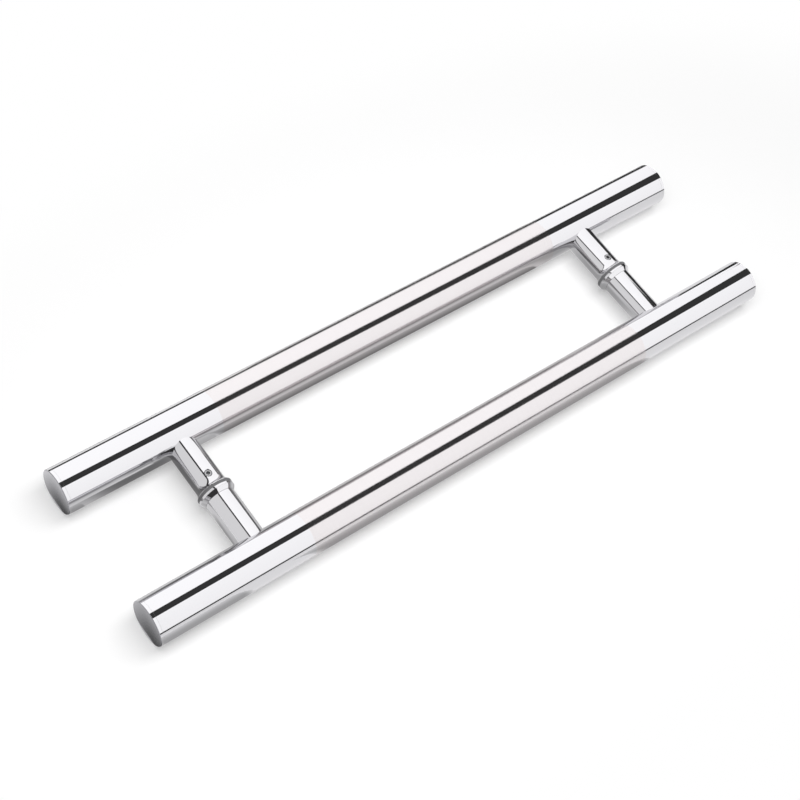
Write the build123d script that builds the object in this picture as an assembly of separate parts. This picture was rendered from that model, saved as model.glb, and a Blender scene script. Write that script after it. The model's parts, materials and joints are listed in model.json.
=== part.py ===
from build123d import *
import os

os.makedirs("parts", exist_ok=True)

# Pull handle for a frameless glass door: two round bars back to back, joined by two
# round posts, each in a front half and a rear half that clamp the glass between them.
# It is closed up without its glass and lies flat on both bars.
# Frame: X runs along the bars, Y through the glass from the front bar to the rear bar,
# Z is up. The origin is midway between the two clamp bolts, in the plane of the glass.

# Bars
bar_diameter = 38.0
bar_wall = 1.5
bar_length = 624.0
cap_thickness = 3.0
cap_edge_chamfer = 0.5
cap_spigot_length = 8.0
cap_spigot_wall = 2.0
cap_clearance = 0.05

# Posts
hole_centres = 420.0
front_standoff = 64.6
rear_standoff = 61.4
post_diameter = 25.0
flare_height = 2.75
flare_length = 6.3
flare_rim = 0.3

# Collars on the front half-posts
collar_length = 5.2
collar_band = 1.95
collar_step = 0.25
collar_spigot_wall = 2.4
collar_clearance = 0.05
spigot_setback = 0.2

# Gaskets against the glass
gasket_thickness = 1.3
gasket_inset = 0.15

# Threads and screws
bolt_diameter = 8.0
bolt_head_diameter = 13.0
bolt_head_height = 5.0
bolt_hex = 5.0
bolt_hex_depth = 3.0
bolt_clearance = 0.2
head_clearance = 0.3
thread_clearance = 0.05
screw_tip = 0.5
screw_chamfer = 0.6

# Fixing bosses inside the rear half-posts
boss_wall = 1.7
boss_clearance = 0.05
boss_seat_length = 14.5
boss_head_room = 0.5
well_gap = 1.0

# Threaded inserts inside the front half-posts
insert_wall = 3.5
insert_length = 17.0
insert_engagement = 14.0

# Saddle nuts inside the bars
nut_diameter = 20.0
nut_length = 12.0

# Set screws on top of the rear half-posts
set_screw_diameter = 6.0
set_screw_offset = 10.6
set_screw_recess = 0.3
set_screw_groove_depth = 1.2
set_screw_groove_clearance = 0.2
set_screw_hex = 3.0
set_screw_hex_depth = 2.5
set_screw_chamfer = 0.5
set_screw_countersink = 0.35

# Sizes that follow from the ones above
bar_radius = bar_diameter / 2
bar_bore_radius = bar_radius - bar_wall
tube_length = bar_length - 2 * cap_thickness
post_radius = post_diameter / 2
flare_radius = post_radius + flare_height
bolt_radius = bolt_diameter / 2
bolt_hole_radius = bolt_radius + bolt_clearance
thread_hole_radius = bolt_radius + thread_clearance
head_radius = bolt_head_diameter / 2
head_hole_radius = head_radius + head_clearance
boss_radius = head_hole_radius + boss_wall
boss_bore_radius = boss_radius + boss_clearance
boss_length = boss_seat_length + bolt_head_height + boss_head_room
insert_radius = thread_hole_radius + insert_wall
insert_bore_radius = insert_radius + thread_clearance
spigot_radius = insert_bore_radius + collar_spigot_wall
groove_radius = boss_radius - set_screw_groove_depth
set_screw_radius = set_screw_diameter / 2
set_screw_hole_radius = set_screw_radius + thread_clearance
set_screw_y = gasket_thickness + set_screw_offset

# Depths along a post, measured from the plane of the glass
rear_well_floor = gasket_thickness + boss_length + well_gap + bolt_head_height
front_well_floor = gasket_thickness + insert_length + well_gap + bolt_head_height
boss_seat_y = gasket_thickness + boss_seat_length

# A cutter across a post or a nut is this much longer than what it cuts is wide
cutter_margin = 10.0


def rod_y(radius, start, end):
    """A round rod about the Y axis between two places on it, in either order."""
    middle = (start + end) / 2
    return Pos(0, middle, 0) * Rot(90, 0, 0) * Cylinder(radius, abs(end - start))


def rod_x(radius, length):
    """A round rod about the X axis, centred on the origin."""
    return Rot(0, 90, 0) * Cylinder(radius, length)


def turned(outline):
    """A turned solid about the Y axis, from an outline in radius and Y."""
    return revolve(make_face(outline), Axis.Y)


def bar(standoff, side):
    """A round tube, bored on the side of the glass for the two post screws."""
    tube = rod_x(bar_radius, tube_length) - rod_x(bar_bore_radius, tube_length)
    screw_hole = rod_y(bolt_hole_radius, 0, -side * bar_radius)
    for x in (-hole_centres / 2, hole_centres / 2):
        tube -= Pos(x, 0, 0) * screw_hole
    return Pos(0, side * standoff, 0) * tube


def end_cap(standoff, side, end):
    """A flat round cap with a hollow spigot that plugs the tube."""
    plug_radius = bar_bore_radius - cap_clearance
    disc = Cylinder(bar_radius, cap_thickness)
    disc = chamfer(disc.edges().sort_by(Axis.Z)[-1], cap_edge_chamfer)
    spigot = Cylinder(plug_radius, cap_spigot_length)
    spigot -= Cylinder(plug_radius - cap_spigot_wall, cap_spigot_length)
    cap = disc + Pos(0, 0, -(cap_thickness + cap_spigot_length) / 2) * spigot
    x = end * (tube_length + cap_thickness) / 2
    return Pos(x, side * standoff, 0) * Rot(0, end * 90, 0) * cap


def front_post():
    """The front half-post: saddle end, screw well, insert bore and collar spigot."""
    shoulder = -(gasket_thickness + collar_length)
    mouth = -(gasket_thickness + spigot_setback)
    post = rod_y(post_radius, shoulder, -front_standoff)
    post += rod_y(spigot_radius, mouth, shoulder)
    post -= rod_y(insert_bore_radius, 0, -(gasket_thickness + insert_length))
    post -= rod_y(head_hole_radius, 0, -front_well_floor)
    post -= rod_y(bolt_hole_radius, 0, -front_standoff)
    return post - Pos(0, -front_standoff, 0) * rod_x(bar_radius, post_diameter + cutter_margin)


def rear_post():
    """The rear half-post: saddle end, screw well, boss bore, flared mouth, set screw hole."""
    face = gasket_thickness
    rim = face + flare_rim
    flare_end = face + flare_length
    flare = TangentArc((post_radius, flare_end), (flare_radius, rim), tangent=(0, -1))
    post = turned(
        Line((0, rear_standoff), (post_radius, rear_standoff))
        + Line((post_radius, rear_standoff), (post_radius, flare_end))
        + flare
        + Line((flare_radius, rim), (flare_radius, face))
        + Line((flare_radius, face), (0, face))
        + Line((0, face), (0, rear_standoff))
    )
    post -= rod_y(boss_bore_radius, 0, face + boss_length + well_gap)
    post -= rod_y(head_hole_radius, 0, rear_well_floor)
    post -= rod_y(bolt_hole_radius, 0, rear_standoff)
    post -= Pos(0, rear_standoff, 0) * rod_x(bar_radius, post_diameter + cutter_margin)
    thread = Pos(0, 0, flare_radius / 2) * Cylinder(set_screw_hole_radius, flare_radius)
    mouth_radius = set_screw_hole_radius + 2 * set_screw_countersink
    countersink = Cone(set_screw_hole_radius, mouth_radius, 2 * set_screw_countersink)
    hole = thread + Pos(0, 0, post_radius) * countersink
    return post - Pos(0, set_screw_y, 0) * hole


def collar():
    """A turned ring: a plain band at the gasket, then a cone down to the front half-post."""
    face = -gasket_thickness
    back = face - collar_length
    band_end = face - collar_band
    small_radius = post_radius + collar_step
    inner = spigot_radius + collar_clearance
    return turned(
        Polyline(
            (inner, face),
            (flare_radius, face),
            (flare_radius, band_end),
            (small_radius, back),
            (inner, back),
            close=True,
        )
    )


def gasket(side):
    """A thin ring between the glass and the post, holed for the clamp bolt."""
    far = side * gasket_thickness
    return rod_y(flare_radius - gasket_inset, 0, far) - rod_y(bolt_hole_radius, 0, far)


def boss():
    """The fixing boss: grooved for the set screw and counterbored for the bolt's head."""
    end = gasket_thickness + boss_length
    outside = rod_y(boss_radius, gasket_thickness, end)
    half_groove = set_screw_radius + set_screw_groove_clearance
    groove = turned(
        Polyline(
            (boss_radius + set_screw_groove_depth, set_screw_y - half_groove),
            (groove_radius, set_screw_y - half_groove),
            (groove_radius, set_screw_y + half_groove),
            (boss_radius + set_screw_groove_depth, set_screw_y + half_groove),
            close=True,
        )
    )
    hole = rod_y(bolt_hole_radius, 0, end)
    return outside - groove - hole - rod_y(head_hole_radius, boss_seat_y, end)


def insert():
    """The threaded insert in the mouth of the front half-post, flush with its collar."""
    near = -gasket_thickness
    far = near - insert_length
    return rod_y(insert_radius, near, far) - rod_y(thread_hole_radius, near, far)


def cap_screw(length):
    """A low-head cap screw: its head seats at the origin, and its shank points to -Y."""
    shank = rod_y(bolt_radius, 0, -length)
    shank = chamfer(shank.edges().sort_by(Axis.Y)[0], screw_chamfer)
    head = rod_y(head_radius, 0, bolt_head_height)
    head = chamfer(head.edges().sort_by(Axis.Y)[-1], screw_chamfer)
    profile = RegularPolygon(bolt_hex / 2, 6, major_radius=False)
    socket = Rot(90, 0, 0) * extrude(profile, bolt_hex_depth)
    return shank + head - Pos(0, bolt_head_height, 0) * socket


def clamp_bolt():
    """The bolt from the boss through both gaskets into the insert."""
    return Pos(0, boss_seat_y, 0) * cap_screw(boss_seat_y + gasket_thickness + insert_engagement)


def post_screw(standoff, well_floor, side):
    """The screw from a post's well through the bar's wall and its saddle nut."""
    reach = standoff - bar_bore_radius + nut_length + screw_tip - well_floor
    turn = Rot(0, 0, 180) if side > 0 else Rot(0, 0, 0)
    return Pos(0, side * well_floor, 0) * turn * cap_screw(reach)


def saddle_nut(standoff, side):
    """A round nut inside a bar, one end shaped to the bar's bore."""
    axis_y = side * standoff
    nut = rod_y(nut_diameter / 2, -side * bar_radius, side * (nut_length - bar_bore_radius))
    nut -= rod_y(thread_hole_radius, -side * bar_radius, side * bar_radius)
    nut &= rod_x(bar_bore_radius, nut_diameter + cutter_margin)
    return Pos(0, axis_y, 0) * nut


def set_screw():
    """A headless screw with a hexagon socket, its point in the boss's groove."""
    top = post_radius - set_screw_recess
    length = top - groove_radius
    body = Cylinder(set_screw_radius, length)
    body = chamfer(body.edges().filter_by(GeomType.CIRCLE), set_screw_chamfer)
    profile = RegularPolygon(set_screw_hex / 2, 6, major_radius=False)
    socket = Pos(0, 0, length / 2 - set_screw_hex_depth) * extrude(profile, set_screw_hex_depth)
    return Pos(0, set_screw_y, groove_radius + length / 2) * (body - socket)


# The bars and their caps
parts = {
    "front_bar": bar(front_standoff, -1),
    "rear_bar": bar(rear_standoff, 1),
}
for end_name, end in (("left", -1), ("right", 1)):
    parts[f"front_{end_name}_cap"] = end_cap(front_standoff, -1, end)
    parts[f"rear_{end_name}_cap"] = end_cap(rear_standoff, 1, end)

# The two posts with what they hold, made about the Y axis and moved to their places
post_pieces = {
    "front_{}_post": front_post(),
    "rear_{}_post": rear_post(),
    "{}_collar": collar(),
    "front_{}_gasket": gasket(-1),
    "rear_{}_gasket": gasket(1),
    "{}_boss": boss(),
    "{}_insert": insert(),
    "{}_clamp_bolt": clamp_bolt(),
    "{}_set_screw": set_screw(),
    "front_{}_post_screw": post_screw(front_standoff, front_well_floor, -1),
    "rear_{}_post_screw": post_screw(rear_standoff, rear_well_floor, 1),
    "front_{}_nut": saddle_nut(front_standoff, -1),
    "rear_{}_nut": saddle_nut(rear_standoff, 1),
}
for end_name, end in (("left", -1), ("right", 1)):
    for pattern, piece in post_pieces.items():
        parts[pattern.format(end_name)] = Pos(end * hole_centres / 2, 0, 0) * piece

for name, solid in parts.items():
    export_step(solid, f"parts/{name}.step")
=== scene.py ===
"""Looks of a back-to-back stainless steel pull handle for a glass door.

Two round bars lie flat on a pale floor, joined by two clamped posts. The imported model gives
the places and the outer sizes, and the classes hold the rest, in metres: X along the bars, Y
through the glass and Z up. Each visible piece is a surface worked out as whole arrays, and
the clamped pieces inside stay as packed.
"""
import json
import logging
import math
from dataclasses import dataclass
from enum import Enum

import bpy
import numpy as np
from mathutils import Matrix, Vector


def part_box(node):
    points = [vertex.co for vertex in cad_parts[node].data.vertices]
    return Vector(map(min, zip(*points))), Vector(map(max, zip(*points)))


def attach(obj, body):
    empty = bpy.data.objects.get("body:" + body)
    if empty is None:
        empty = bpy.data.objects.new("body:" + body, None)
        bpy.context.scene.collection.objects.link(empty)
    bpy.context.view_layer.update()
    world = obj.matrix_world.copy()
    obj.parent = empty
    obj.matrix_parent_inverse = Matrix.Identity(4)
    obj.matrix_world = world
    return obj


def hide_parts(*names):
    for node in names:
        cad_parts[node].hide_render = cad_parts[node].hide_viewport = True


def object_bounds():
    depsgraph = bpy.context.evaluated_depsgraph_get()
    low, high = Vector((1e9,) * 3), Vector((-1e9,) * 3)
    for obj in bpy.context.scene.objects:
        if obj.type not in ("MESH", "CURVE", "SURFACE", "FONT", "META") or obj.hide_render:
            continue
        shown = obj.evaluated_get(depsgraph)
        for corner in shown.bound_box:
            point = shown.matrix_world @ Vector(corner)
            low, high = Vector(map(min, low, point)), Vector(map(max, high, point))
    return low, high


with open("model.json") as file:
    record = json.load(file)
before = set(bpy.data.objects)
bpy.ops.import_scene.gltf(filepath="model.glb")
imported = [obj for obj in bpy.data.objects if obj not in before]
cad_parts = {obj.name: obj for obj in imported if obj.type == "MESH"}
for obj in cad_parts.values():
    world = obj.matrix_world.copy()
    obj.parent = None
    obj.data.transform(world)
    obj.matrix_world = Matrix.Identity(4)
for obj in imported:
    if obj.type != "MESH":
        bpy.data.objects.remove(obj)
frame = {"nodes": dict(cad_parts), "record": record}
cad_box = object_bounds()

log = logging.getLogger("pull_handle")

# Short names for types
Pair = tuple[float, float]
Triple = tuple[float, float, float]
Socket = bpy.types.NodeSocket
Material = bpy.types.Material

MM = 0.001
BODY = "root"

# Steps round a large turned surface, and round a small one
FINE_STEPS = 288
SMALL_STEPS = 96

# Faces that meet at more than this angle have a sharp edge between them
SHARP_ANGLE = math.radians(24.0)

# Plain places, scales and colours that several finishes share
ORIGIN = Vector()
UNSCALED = (1.0, 1.0, 1.0)
WHITE = (1.0, 1.0, 1.0)
POLISHED_STEEL = (0.637, 0.632, 0.650)


class Side(Enum):
    """The two bars, with the direction of each from the glass along Y."""

    FRONT = -1
    REAR = 1

    @property
    def word(self) -> str:
        """The word that node names use for this side."""
        return self.name.lower()


class End(Enum):
    """The two ends of the handle, with the direction of each along X."""

    LEFT = -1
    RIGHT = 1

    @property
    def word(self) -> str:
        """The word that node names use for this end."""
        return self.name.lower()


class Shader(Enum):
    """The shaders that a material starts from, with the name of each one's output."""

    SURFACE = ("BsdfPrincipled", "BSDF")
    GLOW = ("Emission", "Emission")


class Turn(Enum):
    """The axis that a turned piece goes round, with its three unit vectors.

    Each value is (u, v, axis), right-handed, as rows.
    """

    X = ((0.0, 1.0, 0.0), (0.0, 0.0, 1.0), (1.0, 0.0, 0.0))
    Y = ((0.0, 0.0, 1.0), (1.0, 0.0, 0.0), (0.0, 1.0, 0.0))
    Z = ((1.0, 0.0, 0.0), (0.0, 1.0, 0.0), (0.0, 0.0, 1.0))


def angles(steps: int) -> np.ndarray:
    """Evenly spaced angles round a full turn, without the repeated last one.

    Args:
        steps: how many angles.

    Returns:
        An array of that many angles in radians.
    """
    return np.arange(steps) * (2.0 * math.pi / steps)


def eased(outline: np.ndarray, size: float, steps: int = 7) -> np.ndarray:
    """A closed outline with each corner rounded off.

    A corner P gives way to the curve (1-t)^2 A + 2t(1-t) P + t^2 B, where A and B lie that
    far from P on its two sides and t runs from 0 to 1.

    Args:
        outline: rows of (height, radius).
        size: how far from the corner its curve starts and ends.
        steps: how many points each curve has.

    Returns:
        The longer outline.
    """
    before = np.roll(outline, 1, axis=0) - outline
    after = np.roll(outline, -1, axis=0) - outline
    start = outline + before * (size / np.linalg.norm(before, axis=1, keepdims=True))
    end = outline + after * (size / np.linalg.norm(after, axis=1, keepdims=True))
    t = np.linspace(0.0, 1.0, steps)[None, :, None]
    curve = (1.0 - t) ** 2 * start[:, None]
    curve += 2.0 * t * (1.0 - t) * outline[:, None]
    curve += t**2 * end[:, None]
    return curve.reshape(-1, 2)


def flat_rings(profile: np.ndarray, steps: int) -> tuple[np.ndarray, np.ndarray]:
    """Heights and radii of rings that are the same all round.

    Args:
        profile: rows of (height, radius).
        steps: how many steps the turn has.

    Returns:
        Two arrays of rings by steps.
    """
    return np.repeat(profile[:, :1], steps, axis=1), np.repeat(profile[:, 1:], steps, axis=1)


def between(low: float, high: float, count: int, radius: float) -> np.ndarray:
    """Evenly spaced rows of (height, radius) on a straight wall, both ends included."""
    return np.column_stack([np.linspace(low, high, count), np.full(count, radius)])


def line_at(x: np.ndarray, y: np.ndarray | float, z: float) -> np.ndarray:
    """Rows of (x, y, z) along a line, where one number for y or z serves every row."""
    return np.column_stack(np.broadcast_arrays(x, y, z))


def linked(name: str, data: bpy.types.ID) -> bpy.types.Object:
    """A new object with its data, linked to the scene.

    Args:
        name: the object's name.
        data: its mesh, lamp or camera.

    Returns:
        The new object.
    """
    made = bpy.data.objects.new(name, data)
    bpy.context.scene.collection.objects.link(made)
    return made


@dataclass(frozen=True)
class Hole:
    """A round hole through a turned wall, square to the wall's axis.

    Attributes:
        step: the step of the turn that the hole is centred on.
        height: the hole's height along the turn's axis.
        radius: the hole's radius.
        outer: the wall's outer rings round the hole, in rising height.
        inner: its inner rings at the same heights.
        half: how many steps of the turn are opened on each side of the hole.
        sink_radius: the radius of the countersink at the wall's crest, or 0 for none.
        sink_floor: the countersink's depth below the crest.
        rows: how many rows of faces go from each opening to the hole.
        least_step: the least width of the countersink, and its least depth.
    """

    step: int
    height: float
    radius: float
    outer: np.ndarray
    inner: np.ndarray
    half: int
    sink_radius: float = 0.0
    sink_floor: float = 0.0
    rows: int = 5
    least_step: float = 0.06 * MM

    def rim(self, theta: np.ndarray, wall: float) -> np.ndarray:
        """The hole's radius where it meets the outer wall, in each direction round it.

        The countersink's cone, radius r = sink_radius + z - wall, meets the wall's
        z = sqrt(wall^2 - (r cos theta)^2) where (1 + cos^2) r^2 + 2 b r + b^2 = wall^2 with
        b = wall - sink_radius. Where that is less than the plain hole, the hole's own radius
        counts.

        Args:
            theta: directions round the hole.
            wall: the outer wall's radius.

        Returns:
            A radius for each direction.
        """
        if not self.sink_radius:
            return np.full(theta.shape, self.radius)
        b = wall - self.sink_radius
        lead = 1.0 + np.cos(theta) ** 2
        cone = (-b + np.sqrt(b * b + lead * (wall * wall - b * b))) / lead
        return np.maximum(cone, self.radius + self.least_step)


@dataclass
class TurnedPiece:
    """A surface of rings round an axis, which round holes can go through.

    The point at ring k and angle a is
    centre + height[k, a] * axis + radius[k, a] * (cos a * u + sin a * v).
    The outside runs up the axis, so that the faces point outwards. The last ring joins the
    first, or else both are poles and each becomes one point.

    Attributes:
        turn: the axis that the piece goes round.
        centre: the point that heights and radii are measured from.
        height: heights along the axis, rings by angles.
        radius: radii, rings by angles.
        closed: whether the last ring joins the first, as in a tube.
    """

    turn: Turn
    centre: Vector
    height: np.ndarray
    radius: np.ndarray
    closed: bool = True

    def __post_init__(self) -> None:
        """Works out the points and faces of the whole grid."""
        rings, self.steps = self.height.shape
        self.basis = np.array(self.turn.value)
        u, v, axis = self.basis
        a = angles(self.steps)
        spoke = np.cos(a)[:, None] * u + np.sin(a)[:, None] * v
        grid = self.height[..., None] * axis + self.radius[..., None] * spoke + np.array(self.centre)
        self.points = grid.reshape(-1, 3)
        index = np.arange(rings * self.steps).reshape(rings, self.steps)
        if not self.closed:
            index[[0, -1]] = index[[0, -1], :1]
        upper = np.roll(index, -1, axis=0)
        corners = [index, np.roll(index, -1, axis=1), np.roll(upper, -1, axis=1), upper]
        self.quads = np.stack(corners, axis=2)
        self.kept = np.ones(index.shape, dtype=bool)
        if not self.closed:
            self.kept[-1] = False
        self.walls: list[np.ndarray] = []

    @classmethod
    def plain(
        cls,
        profile: np.ndarray,
        turn: Turn,
        centre: Vector,
        closed: bool = True,
        steps: int = FINE_STEPS,
    ) -> "TurnedPiece":
        """A piece whose profile is the same all round.

        Args:
            profile: rows of (height, radius).
            turn: the axis that the piece goes round.
            centre: the point that heights are measured from.
            closed: whether the profile closes on itself.
            steps: how many steps the turn has.

        Returns:
            The new piece.
        """
        return cls(turn, centre, *flat_rings(profile, steps), closed)

    def bore(self, hole: Hole) -> None:
        """Opens the outer and the inner wall and joins the two openings by the hole's wall.

        Rows of points go from the opening in the outer wall to the hole's rim, down the hole
        and out to the opening in the inner wall. In the hole's own plane, p across and q
        along the turn's axis, a row on a wall of radius R is straight steps between the
        opening and the circle, raised to sqrt(R^2 - p^2).

        Args:
            hole: the hole's place and size.
        """
        u, v, axis = self.basis
        turned = angles(self.steps)[hole.step]
        out = math.cos(turned) * u + math.sin(turned) * v
        across = math.cos(turned) * v - math.sin(turned) * u
        origin = np.array(self.centre) + hole.height * axis
        columns = (hole.step + np.arange(-hole.half, hole.half + 1)) % self.steps
        openings = []
        flat = []
        for rings in (hole.outer, hole.inner):
            self.kept[np.minimum(rings[:-1], rings[1:])[:, None], columns[:-1]] = False
            sides = [
                rings[0] * self.steps + columns[:-1],
                rings[:-1] * self.steps + columns[-1],
                rings[-1] * self.steps + columns[:0:-1],
                rings[:0:-1] * self.steps + columns[0],
            ]
            openings.append(np.concatenate(sides))
            away = self.points[openings[-1]] - origin
            flat.append(np.stack([away @ across, away @ axis], axis=1))
        outer_wall = self.radius[hole.outer[0], 0]
        inner_wall = self.radius[hole.inner[0], 0]
        theta = np.arctan2(flat[0][:, 1], flat[0][:, 0])
        circle = np.stack([np.cos(theta), np.sin(theta)], axis=1)
        rim = circle * hole.rim(theta, outer_wall)[:, None]
        throat = circle * hole.radius
        share = np.linspace(0.0, 1.0, hole.rows + 1)[1:, None, None]
        on_outer = (1.0 - share) * flat[0] + share * rim
        on_inner = ((1.0 - share) * flat[1] + share * throat)[::-1]
        crest = np.sqrt(outer_wall**2 - on_outer[..., 0] ** 2)
        floor = np.sqrt(inner_wall**2 - on_inner[..., 0] ** 2)
        rows = [np.dstack([on_outer, crest])]
        if hole.sink_radius:
            top = np.minimum(crest[-1] - hole.least_step, outer_wall - hole.sink_floor)
            rows.append(np.column_stack([throat, top])[None])
        rows.append(np.dstack([on_inner, floor]))
        local = np.concatenate(rows)
        new = local @ np.stack([across, axis, out]) + origin
        count = len(theta)
        index = len(self.points) + np.arange(len(local) * count).reshape(-1, count)
        table = np.concatenate([openings[0][None], index, openings[1][None]])
        beside = np.roll(table, -1, axis=1)
        self.points = np.concatenate([self.points, new.reshape(-1, 3)])
        wall = np.stack([table[:-1], beside[:-1], beside[1:], table[1:]], axis=2)
        self.walls.append(wall.reshape(-1, 4))

    def piece(self, name: str) -> bpy.types.Object:
        """The surface as a mesh object at the origin, smooth between its sharp edges.

        Args:
            name: the new object's name.

        Returns:
            The new object, linked to the scene.
        """
        quads = np.concatenate([self.quads[self.kept], *self.walls])
        at_start = quads[:, 0] == quads[:, 1]
        at_end = quads[:, 2] == quads[:, 3]
        triangles = np.concatenate([quads[at_start][:, [0, 2, 3]], quads[at_end][:, [0, 1, 2]]])
        quads = quads[~(at_start | at_end)]
        corners = np.concatenate([quads.ravel(), triangles.ravel()])
        used, corners = np.unique(corners, return_inverse=True)
        sizes = np.repeat([4, 3], [len(quads), len(triangles)])
        mesh = bpy.data.meshes.new(name)
        mesh.vertices.add(len(used))
        mesh.vertices.foreach_set("co", self.points[used].astype(np.float32).ravel())
        mesh.loops.add(len(corners))
        mesh.loops.foreach_set("vertex_index", corners.astype(np.int32).ravel())
        mesh.polygons.add(len(sizes))
        mesh.polygons.foreach_set("loop_start", (np.cumsum(sizes) - sizes).astype(np.int32))
        mesh.update(calc_edges=True)
        mesh.shade_smooth()
        mesh.set_sharp_from_angle(angle=SHARP_ANGLE)
        return linked(name, mesh)


def settle(piece: bpy.types.Object, node: str, material: Material) -> None:
    """Dresses a piece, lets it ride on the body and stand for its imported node.

    Args:
        piece: the finished piece.
        node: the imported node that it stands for.
        material: the piece's finish.
    """
    piece.data.materials.clear()
    piece.data.materials.append(material)
    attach(piece, BODY)
    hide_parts(node)
    log.info("%s: %d faces stand for %s", piece.name, len(piece.data.polygons), node)


@dataclass
class Graph:
    """A material or world node tree with short ways to add and join nodes."""

    tree: bpy.types.NodeTree

    def add(self, kind: str, **settings: object) -> bpy.types.Node:
        """A new node of that type.

        Args:
            kind: the node's type name, without its ShaderNode prefix.
            settings: attributes to set on it.

        Returns:
            The new node.
        """
        node = self.tree.nodes.new("ShaderNode" + kind)
        for key, value in settings.items():
            setattr(node, key, value)
        return node

    def output(self) -> bpy.types.Node:
        """The material's output node."""
        return next(node for node in self.tree.nodes if node.type == "OUTPUT_MATERIAL")

    def join(self, source: Socket, node: bpy.types.Node, name: str | int) -> None:
        """Links an output to the named or numbered input of a node."""
        self.tree.links.new(source, node.inputs[name])

    def math(self, operation: str, first: object, second: object = None) -> Socket:
        """One arithmetic step on sockets or numbers.

        Args:
            operation: the Math node's operation.
            first: a socket or a number.
            second: a socket, a number or None.

        Returns:
            The result's socket.
        """
        node = self.add("Math", operation=operation)
        for place, value in enumerate((first, second)):
            if isinstance(value, Socket):
                self.join(value, node, place)
            elif value is not None:
                node.inputs[place].default_value = value
        return node.outputs[0]

    def spread(self, value: Socket, base: float, shares: Pair) -> Socket:
        """A value from 0 to 1 spread between two shares of a number.

        Args:
            value: the value's socket.
            base: the number.
            shares: its share at 0 and its share at 1.

        Returns:
            The result's socket.
        """
        node = self.add("MapRange")
        self.join(value, node, "Value")
        for name, share in zip(("To Min", "To Max"), shares):
            node.inputs[name].default_value = base * share
        return node.outputs["Result"]

    def coordinates(self, centre: Vector = ORIGIN, scale: Triple = UNSCALED) -> Socket:
        """Object coordinates measured from a centre and scaled.

        Args:
            centre: the point that becomes the origin, in metres.
            scale: the scale along X, Y and Z.

        Returns:
            The vector's socket.
        """
        place = self.add("TexCoord")
        mapping = self.add("Mapping")
        mapping.inputs["Location"].default_value = [-c * s for c, s in zip(centre, scale)]
        mapping.inputs["Scale"].default_value = scale
        self.join(place.outputs["Object"], mapping, "Vector")
        return mapping.outputs["Vector"]

    def parts(self, vector: Socket) -> bpy.types.NodeOutputs:
        """The X, Y and Z of a vector.

        Args:
            vector: the vector's socket.

        Returns:
            The outputs named X, Y and Z.
        """
        node = self.add("SeparateXYZ")
        self.join(vector, node, "Vector")
        return node.outputs

    def noise(self, vector: Socket, detail: float) -> Socket:
        """Fractal noise from 0 to 1 at a vector, with a scale of 1.

        Args:
            vector: the vector's socket.
            detail: how many finer layers the noise has.

        Returns:
            The noise's socket.
        """
        node = self.add("TexNoise")
        self.join(vector, node, "Vector")
        node.inputs["Scale"].default_value = 1.0
        node.inputs["Detail"].default_value = detail
        return node.outputs["Fac"]

    def bump(self, height: Socket, depth: float, strength: float = 1.0) -> Socket:
        """A normal bent by a height.

        Args:
            height: the height's socket, from 0 to 1.
            depth: how deep the relief is, in metres.
            strength: how much of the bend is kept.

        Returns:
            The normal's socket.
        """
        node = self.add("Bump")
        self.join(height, node, "Height")
        node.inputs["Strength"].default_value = strength
        node.inputs["Distance"].default_value = depth
        return node.outputs["Normal"]

    def choose(self, fac: Socket, low: object, high: object, kind: str = "RGBA") -> Socket:
        """One of two values by a factor that is 0 or 1, or a mix of them in between.

        Args:
            fac: the factor's socket.
            low: the value at 0, a socket or a constant.
            high: the value at 1, a socket or a constant.
            kind: the Mix node's data type.

        Returns:
            The result's socket.
        """
        node = self.add("Mix", data_type=kind)
        self.join(fac, node, "Factor")
        for name, value in (("A", low), ("B", high)):
            if isinstance(value, Socket):
                self.join(value, node, name)
            else:
                node.inputs[name].default_value = value
        return node.outputs["Result"]

    def tone(self, fac: Socket, colour: Triple, shares: Pair) -> Socket:
        """A colour between two shares of it.

        Args:
            fac: a factor from 0 to 1.
            colour: red, green and blue.
            shares: its share at 0 and its share at 1.

        Returns:
            The colour's socket.
        """
        low, high = [(*(part * share for part in colour), 1.0) for share in shares]
        return self.choose(fac, low, high)


def new_material(
    name: str, shader: Shader = Shader.SURFACE
) -> tuple[Material, Graph, bpy.types.Node]:
    """An empty node material with one shader on its output.

    Args:
        name: the material's name.
        shader: which shader it has.

    Returns:
        The material, its graph and the shader node.
    """
    material = bpy.data.materials.new(name)
    material.use_nodes = True
    graph = Graph(material.node_tree)
    graph.tree.nodes.clear()
    kind, socket = shader.value
    node = graph.add(kind)
    graph.join(node.outputs[socket], graph.add("OutputMaterial"), "Surface")
    return material, graph, node


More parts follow.
